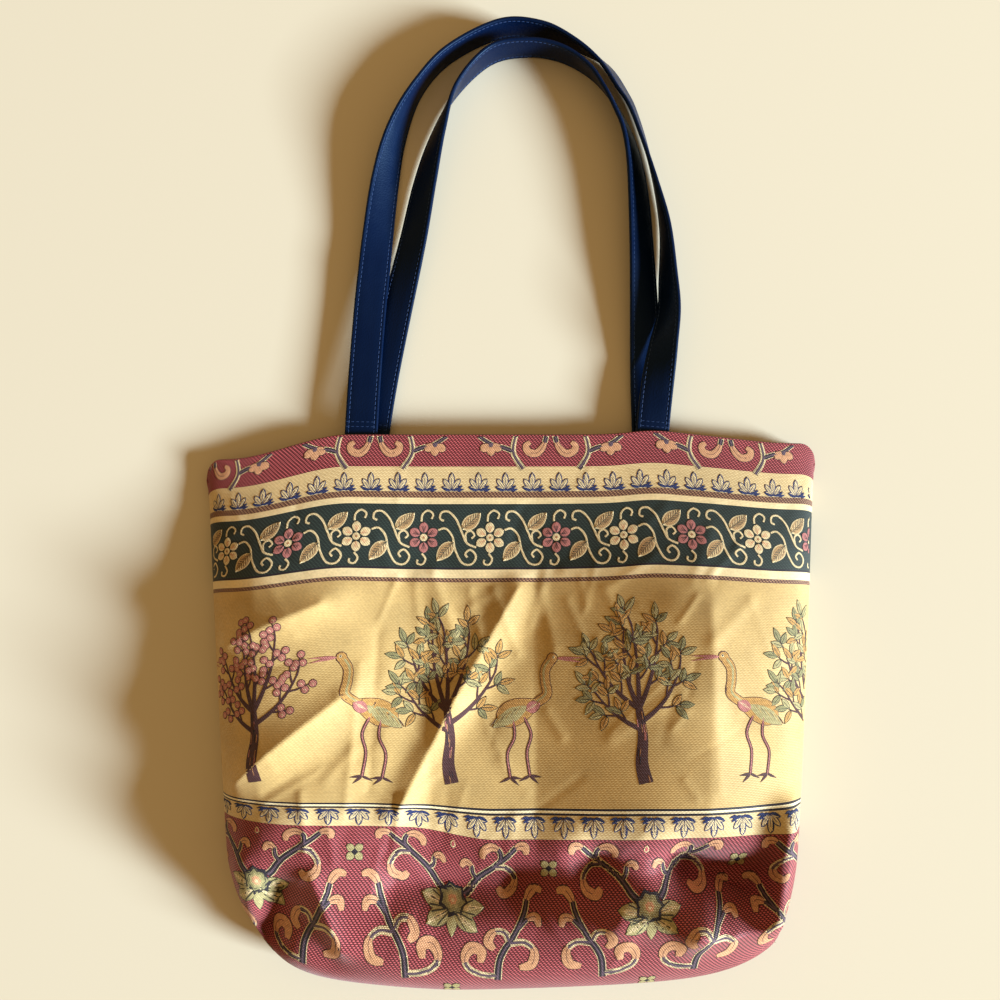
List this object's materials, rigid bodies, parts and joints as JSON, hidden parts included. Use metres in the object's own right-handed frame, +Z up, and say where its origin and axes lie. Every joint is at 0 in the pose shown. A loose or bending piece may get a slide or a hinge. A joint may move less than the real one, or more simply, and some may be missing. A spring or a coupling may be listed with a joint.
{
  "type": "tote bag",
  "caption": "Soft tapestry tote bag lying on its back, wider at the open mouth than at the base, with flat leather shoulder straps laid out in a loop beyond the mouth",
  "frame": {"origin": "on the floor, at the middle of the bag and its laid-out straps", "axes": "+Y from the base towards the mouth and the straps, +X across the mouth, +Z up from the floor through the front panel"},
  "size_m": [0.407, 0.6469, 0.0554],
  "materials": {
    "tapestry": "jacquard tapestry weave in gold, dusty red, cream and dark green bands",
    "lining": "plain smooth lining cloth",
    "strap_leather": "smooth navy leather with turned and stitched edges"
  },
  "bodies": {
    "root": {"front_panel": "tapestry", "back_panel": "tapestry", "front_lining": "lining", "back_lining": "lining", "front_strap": "strap_leather", "back_strap": "strap_leather"}
  },
  "joints": []
}
